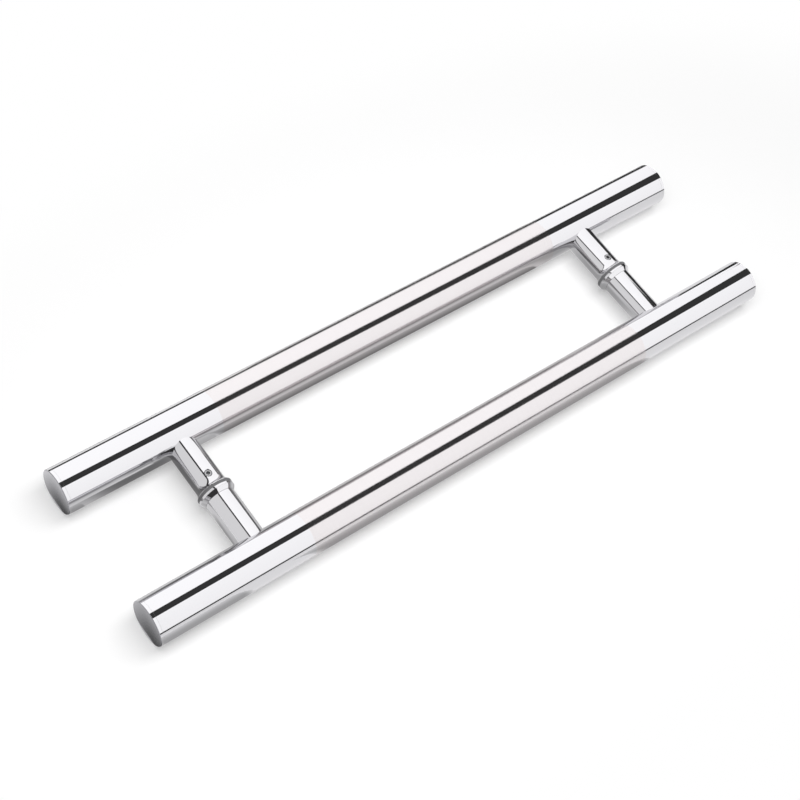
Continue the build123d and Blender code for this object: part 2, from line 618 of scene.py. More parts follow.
@dataclass(frozen=True)
class BarFinish:
    """Mirror-polished stainless tube with a satin band between the posts.

    The satin grain runs round the tube, so the shader spreads its gloss along X. Each pair of
    shares below is a lowest and a highest share of the colour or roughness that it varies.
    """

    polished: Triple = POLISHED_STEEL
    satin: Triple = (0.634, 0.608, 0.616)
    polished_tones: Pair = (0.985, 1.0)
    satin_tones: Pair = (0.94, 1.05)
    polished_roughness: float = 0.05
    satin_roughness: float = 0.17
    haze_shares: Pair = (0.8, 1.2)
    brushed_shares: Pair = (0.85, 1.15)
    band_half_length: float = 174.0 * MM
    grain_scale: Triple = (5200.0, 45.0, 45.0)
    grain_detail: float = 3.0
    grain_depth: float = 0.0022 * MM
    cloud_scale: Triple = (18.0, 60.0, 60.0)
    cloud_detail: float = 4.0
    spread_along_bar: float = 0.95
    spread_turn: float = 0.25

    def material(self, name: str, axis_point: Vector) -> Material:
        """The finish for a bar whose axis goes through a point.

        Args:
            name: the material's name.
            axis_point: a point on the bar's axis.

        Returns:
            The new material.
        """
        material, graph, shader = new_material(name)
        place = graph.parts(graph.coordinates(axis_point))
        away = graph.math("ABSOLUTE", place["X"])
        satin = graph.math("LESS_THAN", away, self.band_half_length)
        grain = graph.noise(graph.coordinates(axis_point, self.grain_scale), self.grain_detail)
        cloud = graph.noise(graph.coordinates(axis_point, self.cloud_scale), self.cloud_detail)
        satin_tone = graph.tone(grain, self.satin, self.satin_tones)
        bright_tone = graph.tone(cloud, self.polished, self.polished_tones)
        graph.join(graph.choose(satin, bright_tone, satin_tone), shader, "Base Color")
        haze = graph.spread(cloud, self.polished_roughness, self.haze_shares)
        brushed = graph.spread(grain, self.satin_roughness, self.brushed_shares)
        graph.join(graph.choose(satin, haze, brushed, "FLOAT"), shader, "Roughness")
        grooves = graph.math("MULTIPLY", grain, satin)
        graph.join(graph.bump(grooves, self.grain_depth), shader, "Normal")
        tangent = graph.add("Tangent", direction_type="RADIAL", axis="X")
        graph.join(tangent.outputs["Tangent"], shader, "Tangent")
        shader.inputs["Metallic"].default_value = 1.0
        shader.inputs["Anisotropic"].default_value = self.spread_along_bar
        shader.inputs["Anisotropic Rotation"].default_value = self.spread_turn
        return material


@dataclass(frozen=True)
class MottledMetal:
    """Bare metal whose colour and roughness vary softly with one noise.

    Attributes:
        colour: the metal's own colour.
        tones: its lowest and its highest share.
        roughness: the mean roughness.
        shares: its lowest and its highest share.
        scale: the noise's scale.
        detail: how many finer layers the noise has.
    """

    colour: Triple
    tones: Pair
    roughness: float
    shares: Pair
    scale: Triple
    detail: float = 4.0

    def material(self, name: str) -> Material:
        """The finish as a material.

        Args:
            name: the material's name.

        Returns:
            The new material.
        """
        material, graph, shader = new_material(name)
        marks = graph.noise(graph.coordinates(scale=self.scale), self.detail)
        graph.join(graph.tone(marks, self.colour, self.tones), shader, "Base Color")
        graph.join(graph.spread(marks, self.roughness, self.shares), shader, "Roughness")
        shader.inputs["Metallic"].default_value = 1.0
        return material


@dataclass(frozen=True)
class PolishedFinish(MottledMetal):
    """Mirror-polished stainless steel of the posts and collars, with faint polishing haze."""

    colour: Triple = POLISHED_STEEL
    tones: Pair = (0.98, 1.0)
    roughness: float = 0.05
    shares: Pair = (0.8, 1.25)
    scale: Triple = (60.0, 60.0, 60.0)


@dataclass(frozen=True)
class MachinedFinish(MottledMetal):
    """Plain machined steel of the screws, bosses, inserts and nuts."""

    colour: Triple = (0.40, 0.40, 0.41)
    tones: Pair = (0.85, 1.0)
    roughness: float = 0.24
    shares: Pair = (0.7, 1.4)
    scale: Triple = (900.0, 900.0, 900.0)


@dataclass(frozen=True)
class TurnedFinish:
    """An end cap: fine turned rings on its face, painted shade on its rim and a mirror-polished side.
    """

    colour: Triple = (0.475, 0.472, 0.500)
    tones: Pair = (0.95, 1.0)
    roughness: float = 0.22
    turned_shares: Pair = (0.85, 1.1)
    # The rim's darker colour is painted shade: it stands in for the shaded floor that the bevel
    # mirrors
    rim_shade_colour: Triple = (0.30, 0.30, 0.32)
    shaded_rim_width: float = 0.50 * MM
    side_colour: Triple = POLISHED_STEEL
    side_roughness: float = 0.05
    side_width: float = 0.02 * MM
    rings_per_metre: float = 4200.0
    ring_detail: float = 2.0
    ring_depth: float = 0.002 * MM

    def material(self, name: str, axis_point: Vector, radius: float) -> Material:
        """The finish for a cap whose axis goes through a point.

        Args:
            name: the material's name.
            axis_point: a point on the cap's axis.
            radius: the cap's radius.

        Returns:
            The new material.
        """
        material, graph, shader = new_material(name)
        place = graph.parts(graph.coordinates(axis_point))
        squares = [graph.math("POWER", place[k], 2.0) for k in ("Y", "Z")]
        reach = graph.math("SQRT", graph.math("ADD", *squares))
        radial = graph.add("CombineXYZ")
        graph.join(graph.math("MULTIPLY", reach, self.rings_per_metre), radial, "X")
        rings = graph.noise(radial.outputs["Vector"], self.ring_detail)
        # Painted shade: the bevel round the face takes the darker rim colour
        rim = graph.math("GREATER_THAN", reach, radius - self.shaded_rim_width)
        side = graph.math("GREATER_THAN", reach, radius - self.side_width)
        face_tone = graph.tone(rings, self.colour, self.tones)
        shaded_rim_tone = graph.choose(rim, face_tone, (*self.rim_shade_colour, 1.0))
        graph.join(graph.choose(side, shaded_rim_tone, (*self.side_colour, 1.0)), shader, "Base Color")
        turned = graph.spread(rings, self.roughness, self.turned_shares)
        roughness = graph.choose(side, turned, self.side_roughness, "FLOAT")
        graph.join(roughness, shader, "Roughness")
        grooves = graph.math("MULTIPLY", rings, graph.math("SUBTRACT", 1.0, rim))
        graph.join(graph.bump(grooves, self.ring_depth), shader, "Normal")
        shader.inputs["Metallic"].default_value = 1.0
        return material


@dataclass(frozen=True)
class RubberFinish:
    """Matt grey gasket rubber with a faint speckle."""

    dark: Triple = (0.10, 0.10, 0.105)
    light: Triple = (0.16, 0.16, 0.165)
    roughness: float = 0.55
    matt_shares: Pair = (0.9, 1.2)
    speckle_scale: Triple = (1500.0, 1500.0, 1500.0)
    speckle_detail: float = 3.0
    speckle_depth: float = 0.02 * MM
    speckle_strength: float = 0.4

    def material(self, name: str) -> Material:
        """The finish as a material.

        Args:
            name: the material's name.

        Returns:
            The new material.
        """
        material, graph, shader = new_material(name)
        speckle = graph.noise(graph.coordinates(scale=self.speckle_scale), self.speckle_detail)
        grey = graph.choose(speckle, (*self.dark, 1.0), (*self.light, 1.0))
        graph.join(grey, shader, "Base Color")
        graph.join(graph.spread(speckle, self.roughness, self.matt_shares), shader, "Roughness")
        relief = graph.bump(speckle, self.speckle_depth, self.speckle_strength)
        graph.join(relief, shader, "Normal")
        return material


@dataclass
class Bar:
    """One tube with its two end caps."""

    side: Side
    # The tube's wall, and the bevels of its ends and of the caps' faces
    wall: float = 1.5 * MM
    edge: float = 0.05 * MM
    cap_edge: float = 0.5 * MM
    # The caps' spigots
    spigot_wall: float = 2.0 * MM
    spigot_play: float = 0.05 * MM
    # The screw holes, and the part of the wall that each one is opened in
    screw_bore: float = 4.2 * MM
    opening_reach: float = 5.4 * MM
    opening_half: int = 14
    opening_rings: int = 21

    def __post_init__(self) -> None:
        """Reads the tube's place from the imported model."""
        low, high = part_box(f"{self.side.word}_bar")
        self.start, self.end = low.x, high.x
        self.radius = (high.z - low.z) / 2
        self.axis_point = Vector((0.0, (low.y + high.y) / 2, (low.z + high.z) / 2))

    def tube(self) -> bpy.types.Object:
        """The tube: a thin rectangle turned about X, bored at each post for its screw.

        Returns:
            The tube's object.
        """
        bore = self.radius - self.wall
        ends = np.array([post_place(end).x for end in End])
        reach, count = self.opening_reach, self.opening_rings
        openings = np.concatenate([between(x - reach, x + reach, count, 0.0) for x in ends])
        outside = openings + (0.0, self.radius)
        inside = openings[::-1] + (0.0, bore)
        first = np.array([(self.start, bore), (self.start, self.radius - self.edge)])
        rise = np.array([(self.start + self.edge, self.radius)])
        fall = np.array([(self.end - self.edge, self.radius), (self.end, self.radius - self.edge)])
        back = np.array([(self.end, bore)])
        profile = np.concatenate([first, rise, outside, fall, back, inside])
        tube = TurnedPiece(Turn.X, self.axis_point, *flat_rings(profile, FINE_STEPS))
        outer_start = len(first) + len(rise)
        inner_start = outer_start + len(outside) + len(fall) + len(back)
        # Each tube is bored on the side that faces the glass
        step = FINE_STEPS // 2 if self.side is Side.REAR else 0
        for number, x in enumerate(ends):
            rings = number * count + np.arange(count)
            inner = inner_start + len(inside) - 1 - rings
            tube.bore(Hole(step, x, self.screw_bore, outer_start + rings, inner, self.opening_half))
        return tube.piece(f"{self.side.word}_tube")

    def cap(self, end: End) -> bpy.types.Object:
        """One end cap: a disc with a broken rim and a hollow spigot, turned about X.

        Args:
            end: which end of the bar.

        Returns:
            The cap's object.
        """
        low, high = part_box(f"{self.side.word}_{end.word}_cap")
        face = high.x if end is End.RIGHT else low.x
        joint = self.end if end is End.RIGHT else self.start
        tip = low.x if end is End.RIGHT else high.x
        spigot = self.radius - self.wall - self.spigot_play
        hollow = spigot - self.spigot_wall
        outline = np.array([
            (joint, 0.0), (joint, hollow), (tip, hollow), (tip, spigot), (joint, spigot),
            (joint, self.radius - self.edge),
            (joint + end.value * self.edge, self.radius),
            (face - end.value * self.cap_edge, self.radius),
            (face, self.radius - self.cap_edge), (face, 0.0),
        ])
        if end is End.LEFT:
            outline = outline[::-1]
        cap = TurnedPiece.plain(outline, Turn.X, self.axis_point, closed=False)
        return cap.piece(f"{self.side.word}_{end.word}_end")

    def build(self, tube_finish: BarFinish, cap_finish: TurnedFinish) -> None:
        """Makes and dresses the tube and both caps.

        Args:
            tube_finish: the finish of the tube.
            cap_finish: the finish of the caps.
        """
        word = self.side.word
        tube_steel = tube_finish.material(f"{word}_bar_steel", self.axis_point)
        settle(self.tube(), f"{word}_bar", tube_steel)
        cap_steel = cap_finish.material(f"{word}_cap_steel", self.axis_point, self.radius)
        for end in End:
            settle(self.cap(end), f"{word}_{end.word}_cap", cap_steel)


def post_place(end: End) -> Vector:
    """The point in the plane of the glass that a post's axis goes through."""
    low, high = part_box(f"{end.word}_collar")
    return Vector(((low.x + high.x) / 2, 0.0, (low.z + high.z) / 2))


@dataclass
class Post:
    """One post: two saddle-ended halves, a collar, two gaskets and a set screw."""

    end: End
    # The bevels of the halves, and of the collar and the gaskets
    edge: float = 0.12 * MM
    collar_edge: float = 0.10 * MM
    # The radii of the bores down the middle, from the narrowest, and of the collar's spigot
    bolt_bore: float = 4.2 * MM
    head_bore: float = 6.8 * MM
    insert_bore: float = 7.6 * MM
    boss_bore: float = 8.55 * MM
    spigot: float = 10.0 * MM
    spigot_bore: float = 10.05 * MM
    # Depths and gaps along those bores
    collar_play: float = 0.2 * MM
    head_room: float = 5.0 * MM
    boss_depth: float = 21.0 * MM
    insert_depth: float = 17.0 * MM
    well_gap: float = 1.0 * MM
    # The rear half's flared mouth, the collar's cone and the saddles
    flare_rim: float = 0.3 * MM
    flare_length: float = 6.3 * MM
    flare_steps: int = 28
    collar_band: float = 1.95 * MM
    collar_step: float = 0.25 * MM
    saddle_steps: int = 12
    # The set screw's hole, and the part of the wall that it is opened in
    screw_hole: float = 3.05 * MM
    sink_radius: float = 3.4 * MM
    sink_floor: float = 0.35 * MM
    opening_reach: float = 4.0 * MM
    opening_half: int = 22
    opening_rings: int = 25
    # The set screw with its socket
    socket_flat: float = 1.5 * MM
    socket_depth: float = 2.5 * MM
    screw_chamfer: float = 0.5 * MM
    drill_point: float = 0.4 * MM

    def __post_init__(self) -> None:
        """Reads the post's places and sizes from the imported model."""
        self.place = post_place(self.end)
        low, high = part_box(f"{self.end.word}_collar")
        self.collar_near, self.collar_far = high.y, low.y
        self.flare_radius = (high.z - low.z) / 2
        low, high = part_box(f"front_{self.end.word}_post")
        self.radius = (high.x - low.x) / 2
        low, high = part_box(f"rear_{self.end.word}_post")
        self.mouth = low.y

    def saddle(self, side: Side) -> tuple[np.ndarray, np.ndarray]:
        """Rings on the bar's surface, from the post's outside in to its bolt hole.

        At radius r and angle a the ring lies sqrt(R^2 - (r cos a)^2) short of the bar's axis,
        where R is the bar's radius.

        Args:
            side: which bar.

        Returns:
            Depths from the plane of the glass, and radii, rings by steps.
        """
        low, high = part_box(f"{side.word}_bar")
        standoff = abs(low.y + high.y) / 2
        bar_radius = (high.z - low.z) / 2
        radius = np.linspace(self.radius, self.bolt_bore, self.saddle_steps)[:, None]
        upright = radius * np.cos(angles(FINE_STEPS))[None]
        depth = standoff - np.sqrt(bar_radius**2 - upright**2)
        return depth, np.broadcast_to(radius, depth.shape)

    def half(self, side: Side, outside: np.ndarray, wells: np.ndarray) -> TurnedPiece:
        """A half-post from its plain outside, its saddle and the bores down its middle.

        Args:
            side: which half.
            outside: rows of (depth, radius) from the mouth towards the bar.
            wells: rows of (depth, radius) from the bar back to the mouth.

        Returns:
            The half-post about the Y axis, its faces outward.
        """
        before = flat_rings(outside, FINE_STEPS)
        after = flat_rings(wells, FINE_STEPS)
        depth, radius = (np.concatenate(rings) for rings in zip(before, self.saddle(side), after))
        if side is Side.FRONT:
            depth, radius = -depth[::-1], radius[::-1]
        return TurnedPiece(Turn.Y, self.place, depth, radius)

    def front_half(self) -> bpy.types.Object:
        """The front half: a spigot for the collar, the post, its saddle and its wells.

        Returns:
            The half's object.
        """
        shoulder = -self.collar_far
        mouth = -self.collar_near + self.collar_play
        insert_end = -self.collar_near + self.insert_depth + self.well_gap
        well = insert_end + self.head_room
        outside = np.array([
            (mouth, self.spigot), (shoulder, self.spigot),
            (shoulder, self.radius - self.edge), (shoulder + self.edge, self.radius),
        ])
        wells = np.array([
            (well, self.bolt_bore), (well, self.head_bore), (insert_end, self.head_bore),
            (insert_end, self.insert_bore), (mouth, self.insert_bore),
        ])
        return self.half(Side.FRONT, outside, wells).piece(f"{self.end.word}_front_half")

    def rear_half(self) -> bpy.types.Object:
        """The rear half: a flared mouth, the post with its set screw hole, saddle and wells.

        The flare is an arc of radius A = (h^2 + L^2) / 2h for a height h and a length L. At
        the angle p the arc is at radius r + A (1 - cos p) and A sin p short of its end.

        Returns:
            The half's object.
        """
        flare = self.flare_radius - self.radius
        length = self.flare_length - self.flare_rim
        bend = (flare**2 + length**2) / (2.0 * flare)
        turned = np.linspace(math.asin(length / bend), 0.0, self.flare_steps)
        flare_end = self.mouth + self.flare_length
        swell = self.radius + bend * (1.0 - np.cos(turned))
        arc = np.column_stack([flare_end - bend * np.sin(turned), swell])
        low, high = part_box(f"{self.end.word}_set_screw")
        spot = (low.y + high.y) / 2
        near, far = spot - self.opening_reach, spot + self.opening_reach
        corner = self.mouth + self.edge, self.flare_radius
        rim = np.array([(self.mouth, self.flare_radius - self.edge), corner])
        opened = between(near, far, self.opening_rings, self.radius)
        outside = np.concatenate([rim, arc, opened])
        boss_end = self.mouth + self.boss_depth
        well = boss_end + self.head_room
        floor = np.array([(well, self.bolt_bore), (well, self.head_bore), (boss_end, self.head_bore)])
        down = between(far, near, self.opening_rings, self.boss_bore)
        deep, shallow = [[(depth, self.boss_bore)] for depth in (boss_end, self.mouth)]
        wells = np.concatenate([floor, deep, down, shallow])
        post = self.half(Side.REAR, outside, wells)
        rings = np.arange(self.opening_rings)
        outer = len(rim) + len(arc) + rings
        inner = len(outside) + self.saddle_steps + len(floor) + self.opening_rings - rings
        sink = self.sink_radius, self.sink_floor
        post.bore(Hole(0, spot, self.screw_hole, outer, inner, self.opening_half, *sink))
        return post.piece(f"{self.end.word}_rear_half")

    def collar(self) -> bpy.types.Object:
        """The collar: a plain band and a cone, turned about Y, its corners softened.

        Returns:
            The collar's object.
        """
        small = self.radius + self.collar_step
        outline = np.array([
            (self.collar_far, self.spigot_bore), (self.collar_far, small),
            (self.collar_near - self.collar_band, self.flare_radius),
            (self.collar_near, self.flare_radius), (self.collar_near, self.spigot_bore),
        ])
        ring = TurnedPiece.plain(eased(outline, self.collar_edge), Turn.Y, self.place)
        return ring.piece(f"{self.end.word}_ring")

    def gasket(self, side: Side) -> bpy.types.Object:
        """One gasket: a flat ring round the bolt's hole, its corners softened.

        Args:
            side: which side of the glass it is on.

        Returns:
            The gasket's object.
        """
        low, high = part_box(f"{side.word}_{self.end.word}_gasket")
        inner, outer = self.bolt_bore, (high.z - low.z) / 2
        outline = np.array([(low.y, inner), (low.y, outer), (high.y, outer), (high.y, inner)])
        ring = TurnedPiece.plain(eased(outline, self.collar_edge), Turn.Y, self.place)
        return ring.piece(f"{side.word}_{self.end.word}_washer")

    def set_screw(self) -> bpy.types.Object:
        """The set screw: a chamfered stub with a hexagon socket, turned about Z.

        The socket's ring at angle a has the radius f / cos(a mod 60 - 30 degrees), where f is
        half the width across its flats.

        Returns:
            The set screw's object.
        """
        low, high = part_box(f"{self.end.word}_set_screw")
        radius = (high.x - low.x) / 2
        top, bottom, cut = high.z, low.z, self.screw_chamfer
        sixth = math.pi / 3.0
        hexagon = self.socket_flat / np.cos(np.mod(angles(SMALL_STEPS), sixth) - sixth / 2.0)
        floor = top - self.socket_depth
        body = np.array([
            (bottom, 0.0), (bottom, radius - cut), (bottom + cut, radius),
            (top - cut, radius), (top, radius - cut),
        ])
        height, reach = flat_rings(body, SMALL_STEPS)
        socket_heights = np.repeat([[top], [floor], [floor - self.drill_point]], SMALL_STEPS, axis=1)
        socket_reach = np.stack([hexagon, hexagon, np.zeros(SMALL_STEPS)])
        place = Vector((self.place.x, (low.y + high.y) / 2, 0.0))
        height = np.concatenate([height, socket_heights])
        reach = np.concatenate([reach, socket_reach])
        screw = TurnedPiece(Turn.Z, place, height, reach, closed=False)
        return screw.piece(f"{self.end.word}_grub_screw")

    def build(self, steel: Material, rubber: Material, dark: Material) -> None:
        """Makes and dresses the post's pieces.

        Args:
            steel: the finish of the halves and the collar.
            rubber: the gaskets' finish.
            dark: the set screw's finish.
        """
        word = self.end.word
        settle(self.front_half(), f"front_{word}_post", steel)
        settle(self.rear_half(), f"rear_{word}_post", steel)
        settle(self.collar(), f"{word}_collar", steel)
        for side in Side:
            settle(self.gasket(side), f"{side.word}_{word}_gasket", rubber)
        settle(self.set_screw(), f"{word}_set_screw", dark)


@dataclass(frozen=True)
class Patch:
    """A grey sheet that lies on the studio floor.

    Attributes:
        name: the sheet's name.
        radiance: its brightness, where 1 is white.
        first: one edge, as (x, y) points in metres.
        second: the edge across from it, with as many points.
    """

    name: str
    radiance: float
    first: tuple[Pair, ...]
    second: tuple[Pair, ...]


@dataclass(frozen=True)
class Card:
    """A dark sheet that stands upright on the studio floor.

    Attributes:
        name: the card's name.
        start: one end of its foot in X and Y.
        end: the other end of its foot.
        height: how far above the floor its top edge is.
    """

    name: str
    start: Pair
    end: Pair
    height: float


@dataclass(frozen=True)
class Shade:
    """Painted shadow on the studio floor, seen only in the steel: a soft-edged grey, darkest at its
    centre, lightest at its rim.

    Attributes:
        name: the shade's name.
        core: its brightness at the centre.
        rim: its brightness at the rim.
        centre: its place in X and Y.
        half: its half width and half depth.
        fall: how late it fades along X and along Y.
        right: how much of its right half is there, from 0 to 1.
    """

    name: str
    core: float
    rim: float
    centre: Pair
    half: Pair
    fall: Pair = (8.0, 1.0)
    right: float = 1.0


@dataclass
class Studio:
    """Pale floor, white surroundings, a soft lamp, two bright panels and dark cards.

    The panels, the cards, the grey sheet and the painted floor shadows show only in the steel.
    One soft lamp overhead lights the floor and the rubber. A rail is a panel's upper edge, as
    (x, y) points in metres, and a span says from which to before which of the stations along X
    a sheet goes.
    """

    # The floor's paper
    floor_half: float = 8.0
    floor_tone: float = 0.93
    floor_tones: Pair = (0.995, 1.0)
    floor_cloud: Triple = (3.0, 3.0, 3.0)
    floor_roughness: float = 0.9
    # How much plain white it shows near the handle, the half width and depth of that near
    # place, and from which share of them to which one the white becomes full
    floor_own_white: float = 0.30
    floor_near: Pair = (0.42, 0.20)
    fade: Pair = (1.0, 1.7)
    # The strength at which the surroundings light the matt things
    sky_level: float = 0.40
    # The faint cloud in each glow
    cloud_detail: float = 2.0
    glow_cloud: Triple = (2.0, 2.0, 2.0)
    glow_tones: Pair = (0.985, 1.0)
    # The panels, from their rails down to their feet, and the strip between the rails
    rail_height: float = 0.90
    stations: tuple[float, ...] = (-3.0, -0.5, -0.42, -0.28, -0.14, 0.15, 0.65, 0.95, 1.3, 1.8, 4.0)
    front_radiance: float = 1.36
    front_slope: Triple = (-0.01, 0.0, 0.08)
    front_rail: tuple[Pair, ...] = (
        (-3.0, -0.18), (-0.5, -0.20), (0.15, -0.235),
        (0.7, -0.26), (1.3, -0.27), (4.0, -0.3),
    )
    front_span: tuple[int, int] = (4, 9)
    front_foot: Pair = (-0.66, 0.055)
    front_corner_x: float = -0.23
    board_lift: float = 0.002
    rear_radiance: float = 1.52
    rear_slope: Triple = (-0.05, 0.0, 0.0)
    rear_rail: tuple[Pair, ...] = (
        (-3.0, 0.3), (-0.5, 0.24), (0.15, 0.17), (0.65, 0.165),
        (0.95, 0.29), (1.3, 0.42), (4.0, 0.8),
    )
    rear_span: tuple[int, int] = (3, 10)
    rim_span: tuple[int, int] = (2, 4)
    rear_foot_y: float = 0.70
    rear_foot_lift: float = 0.01
    # The dark cards, the left one from the front panel's corner
    dark_radiance: float = 0.050
    left_card_end: Pair = (-1.2, -0.90)
    card_lift: float = 0.001
    dark_cards: tuple[Card, ...] = (
        Card("low_card", (-0.30, 0.17), (0.70, 0.11), 0.026),
        Card("near_card", (0.400, 0.036), (0.400, 0.165), 0.046),
        Card("end_card", (0.70, -0.25), (0.70, 0.40), 0.199),
        Card("tall_card", (0.69, 0.09), (0.69, 0.26), 0.289),
    )
    # A grey sheet and painted floor shadows that only the steel mirrors, each shade a small gap
    # above the one before
    patch_height: float = 0.0004
    layer_gap: float = 0.0002
    patches: tuple[Patch, ...] = (
        Patch("rear_sheet", 0.10, ((-0.10, 0.135), (0.70, 0.090)), ((-0.10, 0.155), (0.70, 0.110))),
    )
    shades: tuple[Shade, ...] = (
        Shade("gap_shade", 0.56, 0.90, (-0.0725, -0.010), (0.2385, 0.045)),
        Shade("rear_foot_shade", 0.12, 0.58, (0.0095, 0.058), (0.1835, 0.055), (24.0, 1.0)),
        Shade("rear_end_shade", 0.28, 0.64, (-0.260, 0.058), (0.051, 0.055)),
        Shade("rear_post_shade", 0.50, 0.74, (-0.1905, 0.053), (0.0175, 0.050), (8.0, 1.0)),
        Shade("root_shade", 0.20, 0.60, (-0.243, 0.034), (0.052, 0.041), (2.0, 2.0)),
        Shade("front_foot_shade", 0.38, 0.84, (0.0135, -0.075), (0.1805, 0.085), (24.0, 1.0)),
        Shade("front_end_shade", 0.42, 0.88, (-0.268, -0.075), (0.043, 0.085)),
        Shade("left_post_shade", 0.40, 0.72, (-0.215, -0.032), (0.030, 0.025), (2.0, 2.0)),
        Shade("right_post_shade", 0.46, 0.75, (0.200, 0.005), (0.035, 0.050), (2.0, 2.0)),
        # Painted shade on the floor beside the caps, which their faces mirror; the rear one ends
        # brighter than white at its rim, which is painted light
        Shade("rear_cap_shade", 0.08, 1.25, (-0.3125, 0.040), (0.017, 0.062), (1.0, 1.6), 0.0),
        Shade("front_cap_shade", 0.11, 1.00, (-0.3125, -0.086), (0.020, 0.062), (1.0, 1.6), 0.0),
    )
    # The lamp, with its watts per square metre for a brightness of 1
    lamp_radiance: float = 3.3
    lamp_watts: float = 4.0
    lamp_size: Pair = (1.4, 0.59)
    lamp_place: Triple = (-0.05, -0.095, 1.0)

    def sheet(self, name: str, first: np.ndarray, second: np.ndarray, material: Material) -> None:
        """A sheet between two lines of as many points, seen only in the steel.

        Args:
            name: the sheet's name.
            first: rows of (x, y, z).
            second: rows of (x, y, z), each joined to the same row of the first.
            material: the sheet's material.
        """
        count = len(first)
        k = np.arange(count - 1)
        faces = np.stack([k, k + 1, k + 1 + count, k + count], axis=1)
        mesh = bpy.data.meshes.new(name)
        mesh.from_pydata(np.concatenate([first, second]).tolist(), [], faces.tolist())
        mesh.materials.append(material)
        sheet = linked(name, mesh)
        sheet.visible_camera = False
        sheet.visible_diffuse = False
        sheet.visible_shadow = False

    def glow(self, name: str, radiance: float, slope: Triple = (0.0, 0.0, 0.0)) -> Material:
        """A material that shows a soft brightness with the faintest cloud in it.

        The brightness at a point p is radiance * (1 + slope . p).

        Args:
            name: the material's name.
            radiance: the brightness at the origin, where 1 is white.
            slope: the relative change per metre along X, Y and Z.

        Returns:
            The new material.
        """
        material, graph, shine = new_material(name, Shader.GLOW)
        cloud = graph.noise(graph.coordinates(scale=self.glow_cloud), self.cloud_detail)
        graph.join(graph.tone(cloud, WHITE, self.glow_tones), shine, "Color")
        lean = graph.add("VectorMath", operation="DOT_PRODUCT")
        graph.join(graph.coordinates(), lean, 0)
        lean.inputs[1].default_value = [radiance * part for part in slope]
        graph.join(graph.math("ADD", lean.outputs["Value"], radiance), shine, "Strength")
        return material

    def seen(self, graph: Graph) -> Socket:
        """1 for rays from the camera, off gloss or through glass, 0 for other rays.

        Args:
            graph: the graph that asks.

        Returns:
            The answer's socket.
        """
        path = graph.add("LightPath")
        straight = graph.math("ADD", path.outputs["Is Camera Ray"], path.outputs["Is Glossy Ray"])
        return graph.math("ADD", straight, path.outputs["Is Transmission Ray"])

    def floor(self) -> None:
        """The pale floor: it keeps the handle's shadow and goes to plain white farther off."""
        low = cad_box[0].z
        h = self.floor_half
        mesh = bpy.data.meshes.new("floor")
        mesh.from_pydata([(-h, -h, low), (h, -h, low), (h, h, low), (-h, h, low)], [], [(0, 1, 2, 3)])
        floor = linked("floor", mesh)
        material, graph, shader = new_material("floor_paper")
        cloud = graph.noise(graph.coordinates(scale=self.floor_cloud), self.cloud_detail)
        paper = graph.tone(cloud, (self.floor_tone,) * 3, self.floor_tones)
        graph.join(paper, shader, "Base Color")
        shader.inputs["Roughness"].default_value = self.floor_roughness
        shader.inputs["Specular IOR Level"].default_value = 0.0
        away = graph.add("VectorMath", operation="LENGTH")
        flat = tuple(1.0 / reach for reach in self.floor_near)
        graph.join(graph.coordinates(scale=(*flat, 0.0)), away, 0)
        reach = graph.add("MapRange", interpolation_type="SMOOTHSTEP")
        graph.join(away.outputs["Value"], reach, "Value")
        reach.inputs["From Min"].default_value, reach.inputs["From Max"].default_value = self.fade
        reach.inputs["To Min"].default_value = self.floor_own_white
        white = graph.add("Emission")
        mix = graph.add("MixShader")
        graph.join(graph.math("MULTIPLY", reach.outputs["Result"], self.seen(graph)), mix, "Fac")
        graph.join(shader.outputs["BSDF"], mix, 1)
        graph.join(white.outputs["Emission"], mix, 2)
        graph.join(mix.outputs["Shader"], graph.output(), "Surface")
        mesh.materials.append(material)

    def world(self) -> None:
        """White surroundings: strength 1 for the camera and the steel, less for matt things."""
        world = bpy.data.worlds.new("surroundings")
        world.use_nodes = True
        graph = Graph(world.node_tree)
        background = graph.tree.nodes["Background"]
        background.inputs["Color"].default_value = (*WHITE, 1.0)
        level = graph.spread(self.seen(graph), 1.0, (self.sky_level, 1.0))
        graph.join(level, background, "Strength")
        bpy.context.scene.world = world

    def lamp(self) -> None:
        """The soft lamp overhead. Its power gives the named radiance over its whole face."""
        lamp = bpy.data.lights.new("overhead", "AREA")
        lamp.shape = "RECTANGLE"
        lamp.size, lamp.size_y = self.lamp_size
        lamp.energy = self.lamp_watts * self.lamp_radiance * lamp.size * lamp.size_y
        holder = linked("overhead", lamp)
        holder.location = self.lamp_place
        holder.visible_glossy = False
        holder.visible_camera = False

